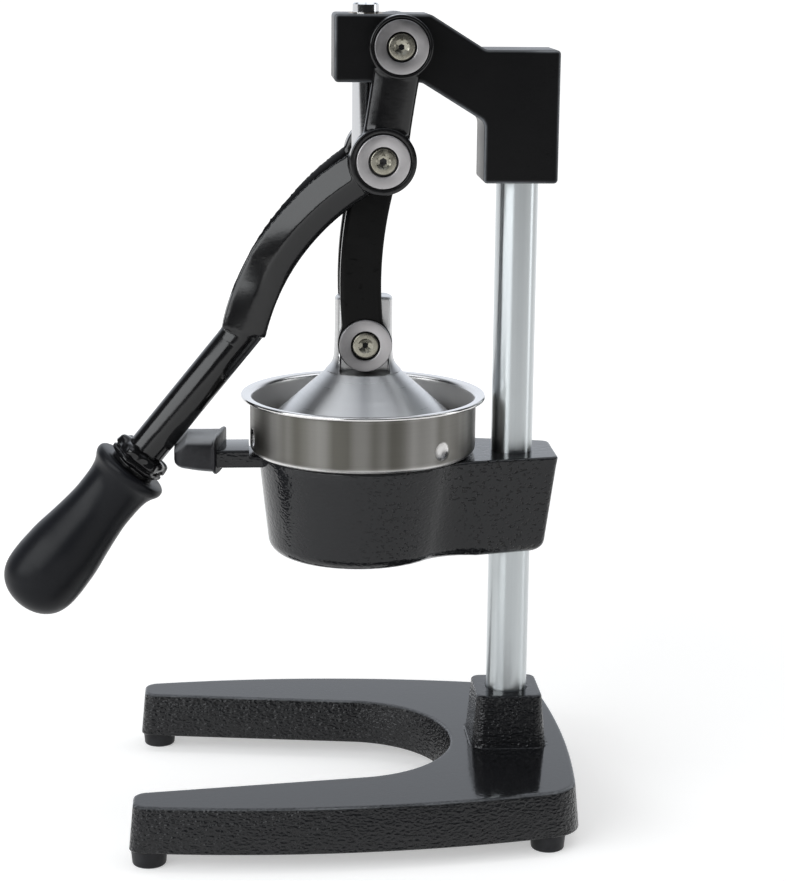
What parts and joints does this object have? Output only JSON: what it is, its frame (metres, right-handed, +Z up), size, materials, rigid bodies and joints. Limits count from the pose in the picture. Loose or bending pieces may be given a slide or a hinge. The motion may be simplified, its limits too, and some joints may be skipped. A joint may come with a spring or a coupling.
{
  "type": "citrus press juicer",
  "caption": "Lever citrus press: a horseshoe base and column carry a head whose toggle lever drives a dome down into a steel cup.",
  "frame": {"origin": "middle of the footprint, on the surface that the feet stand on", "axes": "+Z up along the press axis, +X from the lever's grip towards the column, +Y to the side away from the near links"},
  "size_m": [0.2921, 0.1956, 0.4094],
  "materials": {
    "hammered_black": "gloss hammered enamel",
    "gloss_black": "gloss enamel",
    "satin_steel": "satin turned",
    "stainless": "satin brushed",
    "zinc": "bright zinc",
    "dome_aluminium": "satin cast",
    "chrome": "polished",
    "bronze": "machined",
    "grip_black": "satin",
    "rubber_black": "matte"
  },
  "bodies": {
    "stand": {"base_casting": "hammered_black", "foot_front_near": "rubber_black", "foot_front_far": "rubber_black", "foot_rear_near": "rubber_black", "foot_rear_far": "rubber_black", "foot_screws": "zinc", "column": "chrome", "column_bolt": "zinc", "column_washer": "zinc", "head_casting": "gloss_black", "head_set_screws": "zinc", "guide_bush": "bronze", "head_pivot_bush_near": "satin_steel", "head_pivot_bush_far": "satin_steel", "head_pivot_screws": "stainless", "cup_bracket": "hammered_black", "bracket_set_screws": "zinc", "bumper_sleeve": "rubber_black", "juice_cup": "stainless", "strainer_cone": "stainless"},
    "handle": {"lever_fork": "gloss_black", "lever_bar": "gloss_black", "grip_nut": "gloss_black", "grip_washer": "zinc", "grip": "grip_black", "elbow_bush_near": "satin_steel", "elbow_bush_far": "satin_steel", "elbow_screws": "stainless"},
    "press": {"press_dome": "dome_aluminium", "guide_rod": "chrome", "dome_pivot_bush_near": "satin_steel", "dome_pivot_bush_far": "satin_steel", "dome_pivot_screws": "stainless"},
    "links": {"link_near": "gloss_black", "link_far": "gloss_black", "link_bushes": "satin_steel"}
  },
  "joints": [
    {"name": "handle_lift", "type": "hinge", "parent": "stand", "child": "handle", "pos_m": [0.053, 0, 0.3895], "axis": [0, 1, 0], "range_deg": [0, 62]},
    {"name": "press_slide", "type": "slide", "parent": "stand", "child": "press", "axis": [0, 0, 1], "range_m": [0, 0.04338]},
    {"name": "link_swing", "type": "hinge", "parent": "press", "child": "links", "pos_m": [0.0375, 0, 0.2432], "axis": [0, 1, 0], "range_deg": [-27.87, 0]}
  ],
  "couplings": [
    {"joint": "press_slide", "follows": "handle_lift", "m_per_rad": 0.04009},
    {"joint": "link_swing", "follows": "handle_lift", "ratio": -0.44943}
  ]
}
